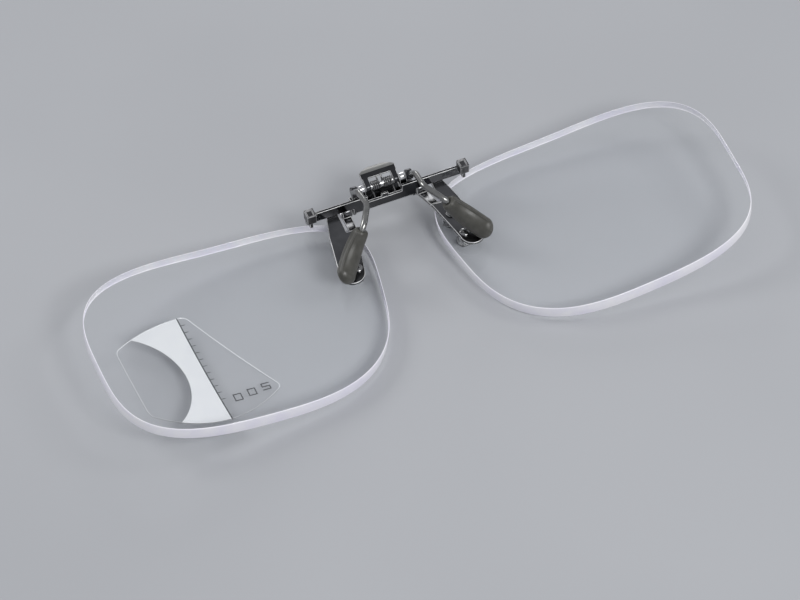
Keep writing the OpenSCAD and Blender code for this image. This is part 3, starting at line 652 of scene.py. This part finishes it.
# A round piece from a list of (place along X, radius) turned about the axle: Y and Z are the
# radius times the cosine and sine.
def turnedGrid(profile, sides):
    profile = np.array(profile, float)
    a = (np.arange(sides) * math.tau / sides)[None, :]
    x = np.broadcast_to(profile[:, :1], (len(profile), sides))
    return np.stack([x, axleY + profile[:, 1:] * np.cos(a), axleZ + profile[:, 1:] * np.sin(a)], -1)


# A quarter round at the corner of a turned profile, from its flat end or back to it: the corner
# less the size times one minus the sine along X, and one minus the cosine in radius.
def quarterRound(x, r, size, xSign, startFlat, steps):
    t = np.linspace(0, math.pi / 2, steps)
    if not startFlat:
        t = t[::-1]
    return [(x - xSign * size * (1 - math.sin(v)), r - size * (1 - math.cos(v))) for v in t]


# The wire along its rounded route into the pad, and the turned boss with its bore at the root.
def armParts(shape):
    core = [padCurve(t) for t in shape["coreSteps"]]
    neck = root + np.array(padShape["neck"])
    lead = neck + (neck - core[0]) * shape["leadShare"]
    corners = [root, root + shape["knee"], root + shape["elbow"], lead, *core]
    path = roundedRoute(corners, shape["bendRadius"], shape["bendSteps"])
    half = shape["wire"] / 2
    tube = closeEnds(carryOval(path, (1, 0, 0), half, half, shape["sides"]))
    x0, x1, r = shape["bossIn"], shape["bossOut"], shape["bossDiameter"] / 2
    bore, end, size, steps = (shape["bore"] / 2, shape["boreEnd"], shape["bossRound"],
                              shape["roundSteps"])
    profile = ([(end, 0), (end, bore), (x0, bore)] + quarterRound(x0, r, size, -1, False, steps)
               + quarterRound(x1, r, size, 1, True, steps) + [(x1, 0)])
    return tube, turnedGrid(profile, shape["bossSides"])


# The pad swells from its round neck to an oval by a sine and closes in a blunt round end by a
# quarter ellipse. Each raised seam is a bell curve round the oval, and the mouth turns in round
# the wire by a quarter circle.
def padGrid(shape):
    t = 1 - (1 - np.linspace(0, 1, shape["rings"]) * shape["ringReach"]) ** shape["tipCrowding"]
    closing = np.clip((t - 1 + shape["endRound"]) / shape["endRound"], 0, 1)
    shrink = shape["neckShrink"] + (1 - shape["neckShrink"]) * t / shape["neckUntil"]
    ends = np.sqrt(1 - closing ** 2) * np.where(t < shape["neckUntil"], shrink, 1)
    swell = np.sin(math.pi / 2 * np.minimum(1, t / shape["swellUntil"]))
    halfA, halfB = (ends * (shape["neckWidth"] + (shape[key] - shape["neckWidth"]) * swell) / 2
                    for key in ("tipWidth", "tipThickness"))
    path = padCurve(t)
    grid = carryOval(path, shape["up"], halfA, halfB, shape["sides"])
    around = np.arange(shape["sides"]) * math.tau / shape["sides"]
    away = (around[:, None] - np.array(shape["seamPlaces"]) + math.pi) % math.tau - math.pi
    ridge = np.exp(-(away / shape["seamWidth"]) ** 2).sum(axis=1) * shape["seamHeight"]
    outward = unit(grid - path[:, None] + tiny)
    fade = (1 - closing) * np.minimum(1, t / shape["seamFrom"])
    grid = grid + outward * (ridge[None, :] * fade[:, None])[..., None]
    start = unit(path[1] - path[0])
    hole, lip = shape["mouth"] / 2 / halfA[0], shape["mouthRound"]
    flat = (halfA[0] - lip) / halfA[0]

    # The first ring of the pad made narrower and moved into it
    def ringAt(scale, depth):
        return path[0] + (grid[0] - path[0]) * scale + start * depth

    rows = [ringAt(0, shape["mouthDepth"]), ringAt(hole, shape["mouthDepth"]),
            ringAt(hole, shape["mouthStart"]), ringAt(flat * shape["flatShare"], 0)]
    rows += [ringAt(flat + (1 - flat) * math.sin(v), lip * (1 - math.cos(v)))
             for v in np.linspace(0, math.pi / 2, shape["lipSteps"] + 1)[:-1]]
    body = grid[np.searchsorted(t, shape["bodyFrom"]):]
    tip = path[-1] + unit(path[-1] - path[-2]) * shape["tipReach"]
    return np.concatenate([np.array(rows), body, np.broadcast_to(tip, grid[:1].shape)])


for side, label in ((1, "right"), (-1, "left")):
    tube, boss = armParts(armShape)
    wireFaces = gridFaces(*tube.shape[:2])
    bossFaces = gridFaces(*boss.shape[:2]) + tube.shape[0] * tube.shape[1]
    points = np.concatenate([tube.reshape(-1, 3), boss.reshape(-1, 3)])
    slots = np.repeat([0, 1], [len(wireFaces), len(bossFaces)])
    arm = makeObject("arm_" + label + "_wire", onSide(points, side),
                     np.concatenate([wireFaces, bossFaces]), [wireNickel, darkNickel],
                     "clip_lever", faceSlots=slots)
    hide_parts("arm_" + label)

for side, label in ((1, "right"), (-1, "left")):
    grid = padGrid(padShape)
    pad = makeObject("pad_" + label + "_soft", onSide(grid, side), gridFaces(*grid.shape[:2]),
                     [padRubber], "clip_lever", smoothAngle=padShape["smoothAngle"])
    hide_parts("pad_" + label)
print("arms and pads made")

springShape = {
    "wire": 0.3, "sides": 14, "coilRadius": 0.75, "coilOut": 1.9, "coilIn": 0.42,
    "turns": 4, "stepsPerTurn": 28,
    "legReach": 1.7, "legDrop": 1.4, "loopReach": 2.0, "loopZ": 0.82,
    "legSteps": 8, "runSteps": 11, "loopSteps": 6,
    "stillAt": -1.3, "movesAt": 1.5,          # Y from the axle where the base and the lever hold it
}


# Half of the spring from its front leg to the middle loop. The leg drops by a parabola, the
# coil is a circle that moves inwards evenly, the rear run rises by a smooth step, and the loop
# is a quarter circle.
def springHalf(shape):
    r, inside = shape["coilRadius"], shape["coilIn"]
    s = np.linspace(1, 0, shape["legSteps"] + 1)[:-1]
    leg = np.stack([np.full(len(s), shape["coilOut"]), -shape["legReach"] * s,
                    -r - (shape["legDrop"] - r) * s ** 2], -1)
    i = np.linspace(0, shape["turns"], shape["turns"] * shape["stepsPerTurn"] + 1)
    a = -math.pi / 2 + math.tau * i
    x = shape["coilOut"] + (inside - shape["coilOut"]) * i / shape["turns"]
    coil = np.stack([x, r * np.cos(a), r * np.sin(a)], -1)
    s = np.linspace(0, 1, shape["runSteps"] + 1)[1:]
    run = np.stack([np.full(len(s), inside), shape["loopReach"] * s,
                    -r + (shape["loopZ"] + r) * s * s * (3 - 2 * s)], -1)
    b = np.linspace(0, math.pi / 2, shape["loopSteps"] + 1)[1:]
    loop = np.stack([inside * np.cos(b), shape["loopReach"] + inside * np.sin(b),
                     np.full(len(b), shape["loopZ"])], -1)
    return np.concatenate([leg, coil, run, loop])


half = springHalf(springShape)
path = np.concatenate([half, (half * (-1, 1, 1))[-2::-1]]) + (0, axleY, axleZ)
wireHalf = springShape["wire"] / 2
tube = closeEnds(carryOval(path, (1, 0, 0), wireHalf, wireHalf, springShape["sides"]))
spring = makeObject("clip_spring_coils", tube, gridFaces(*tube.shape[:2]), [springSteel], None)
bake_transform(spring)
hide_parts("clip_spring")
print("spring made")

floorShape = {"size": 12.0, "height": -0.00002}          # metres


# A level square with its middle over the origin.
def flatSquare(name, size, z, material):
    mesh = bpy.data.meshes.new(name)
    h = size / 2
    mesh.from_pydata([(-h, -h, z), (h, -h, z), (h, h, z), (-h, h, z)], [], [(0, 1, 2, 3)])
    mesh.materials.append(material)
    square = bpy.data.objects.new(name, mesh)
    bpy.context.collection.objects.link(square)


flatSquare("floor", floorShape["size"], floorShape["height"], floorPaper)

# Directions in degrees and distances in metres, clear of what the lenses mirror to the camera.
# The box on the right is only a fill, and isn't mirrored in glass and metal.
lamps = {
    "frontBox": {"azimuth": -71, "height": 45, "distance": 0.95, "size": 0.32, "watts": 3.4,
                 "mirrored": True},
    "leftBox": {"azimuth": 136, "height": 33, "distance": 0.96, "size": 0.34, "watts": 2.2,
                "mirrored": True},
    "rightBox": {"azimuth": -8, "height": 38, "distance": 0.92, "size": 0.28, "watts": 1.0,
                 "mirrored": False},
    "backBox": {"azimuth": 76, "height": 16, "distance": 0.9, "size": 0.26, "watts": 0.9,
                "mirrored": True},
}
for name, lamp in lamps.items():
    data = bpy.data.lights.new(name, "AREA")
    data.shape, data.size, data.energy = "SQUARE", lamp["size"], lamp["watts"]
    holder = bpy.data.objects.new(name, data)
    azimuth, height = math.radians(lamp["azimuth"]), math.radians(lamp["height"])
    level = math.cos(height)
    way = Vector((math.cos(azimuth) * level, math.sin(azimuth) * level, math.sin(height)))
    holder.location = way * lamp["distance"]
    holder.rotation_euler = (-way).to_track_quat("-Z", "Y").to_euler()
    holder.visible_glossy = lamp["mirrored"]
    bpy.context.collection.objects.link(holder)

skyShape = {"colour": (0.93, 0.95, 1.0), "strength": 0.46}
world = bpy.data.worlds.new("studio")
world.use_nodes = True
sky = world.node_tree.nodes["Background"]
sky.inputs["Color"].default_value = (*skyShape["colour"], 1)
sky.inputs["Strength"].default_value = skyShape["strength"]
bpy.context.scene.world = world

# Places from the highest edge of the lenses, the roll in degrees, and the range in metres
cameraShape = {
    "place": (-110.475, -293.864, 358.863), "aim": (-6.148, -23.221, 4.0), "roll": -2.26,
    "lens": 120.56, "sensor": 36.0, "range": (0.01, 50.0),
}
data = bpy.data.cameras.new("camera")
data.sensor_width, data.lens = cameraShape["sensor"], cameraShape["lens"]
data.clip_start, data.clip_end = cameraShape["range"]
camera = bpy.data.objects.new("camera", data)
place, aim = ((Vector(cameraShape[key]) + Vector((0, topY, 0))) * mm for key in ("place", "aim"))
roll = Matrix.Rotation(math.radians(cameraShape["roll"]), 3, "Z")
turn = (aim - place).to_track_quat("-Z", "Y").to_matrix() @ roll
camera.matrix_world = Matrix.Translation(place) @ turn.to_4x4()
bpy.context.collection.objects.link(camera)
bpy.context.scene.camera = camera
bpy.context.scene.view_settings.view_transform = "Standard"
print("stage made")
